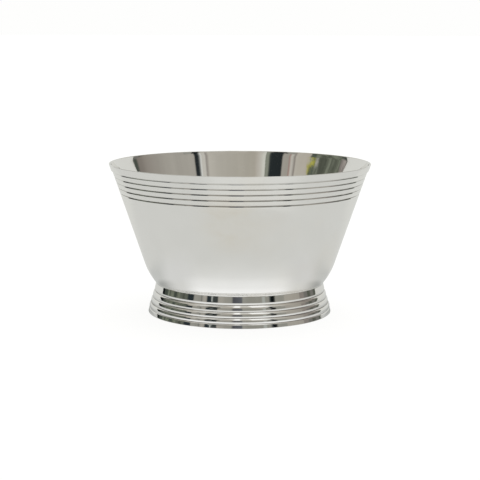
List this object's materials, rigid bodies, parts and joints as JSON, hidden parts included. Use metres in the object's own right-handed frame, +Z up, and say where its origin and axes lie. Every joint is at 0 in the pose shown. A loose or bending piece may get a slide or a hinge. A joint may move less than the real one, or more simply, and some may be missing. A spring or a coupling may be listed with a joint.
{
  "type": "champagne bucket",
  "caption": "Wide footed champagne bowl of polished silver plate, with a flared wall, turned grooves under the lip and a reeded ring foot.",
  "frame": {"origin": "centre of the circle that the foot stands on, at table level", "axes": "+Z up along the axis of revolution; X and Y are any two directions across it"},
  "size_m": [0.36, 0.36, 0.2062],
  "materials": {
    "bowl_plate": "polished silver plate with a soft hand-buffed haze",
    "strap_plate": "polished silver plate",
    "foot_plate": "mirror-polished silver plate",
    "solder": "silver solder, dull and slightly uneven",
    "ring_plate": "satin silver plate, scuffed where it stands"
  },
  "bodies": {
    "root": {"bowl": "bowl_plate", "rim_band": "strap_plate", "foot": "foot_plate", "foot_solder": "solder", "base_ring": "ring_plate"}
  },
  "joints": []
}
